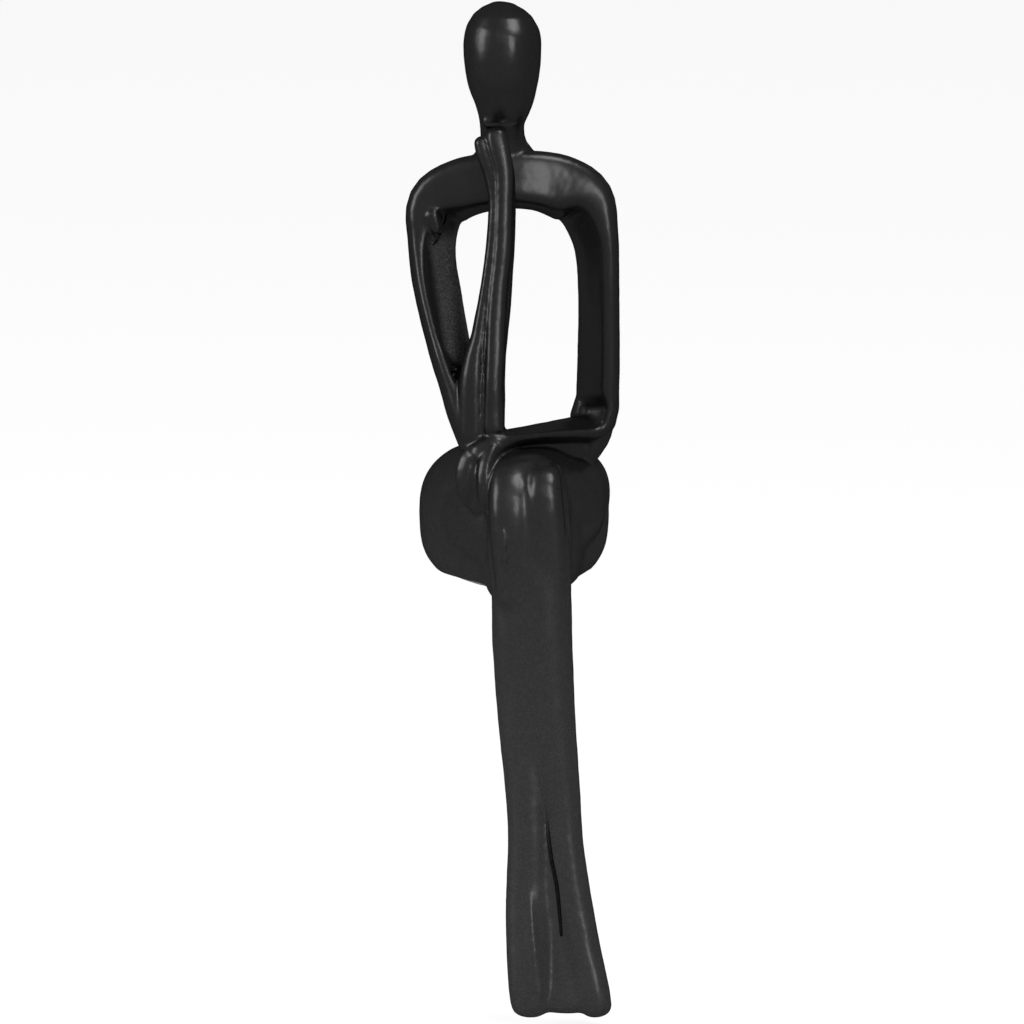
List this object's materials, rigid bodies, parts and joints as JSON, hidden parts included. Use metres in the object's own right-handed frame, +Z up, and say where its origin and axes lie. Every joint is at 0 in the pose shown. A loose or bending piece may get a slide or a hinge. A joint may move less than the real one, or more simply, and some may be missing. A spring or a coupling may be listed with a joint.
{
  "type": "figurine",
  "caption": "Abstract faceless seated man in satin black cast resin, chin on fist and legs crossed, made to sit on a shelf's edge with its shins hanging in front.",
  "frame": {"origin": "on the underside of the felt pad under the hips, in the plane of the shelf that the man sits on", "axes": "+Z up from the shelf to the head, -Y the way the man faces and the shelf's front edge, +X the man's left, which is to the right as seen from in front"},
  "size_m": [0.0598, 0.0798, 0.2777],
  "materials": {
    "resin": "satin black paint on cast polyresin, with fine casting speckle",
    "steel": "plain drawn wire, sealed inside",
    "ballast": "as cast, sealed inside",
    "felt": "black felt pad"
  },
  "bodies": {
    "root": {"head": "resin", "shoulder_frame": "resin", "thinking_forearm": "resin", "lap_forearm": "resin", "seat_block": "resin", "over_leg": "resin", "under_leg": "resin", "neck_dowel": "steel", "arm_dowel": "steel", "lap_elbow_dowel": "steel", "forearm_wire": "steel", "over_leg_wire": "steel", "under_leg_wire": "steel", "ballast_slug": "ballast", "seat_felt": "felt"}
  },
  "joints": []
}
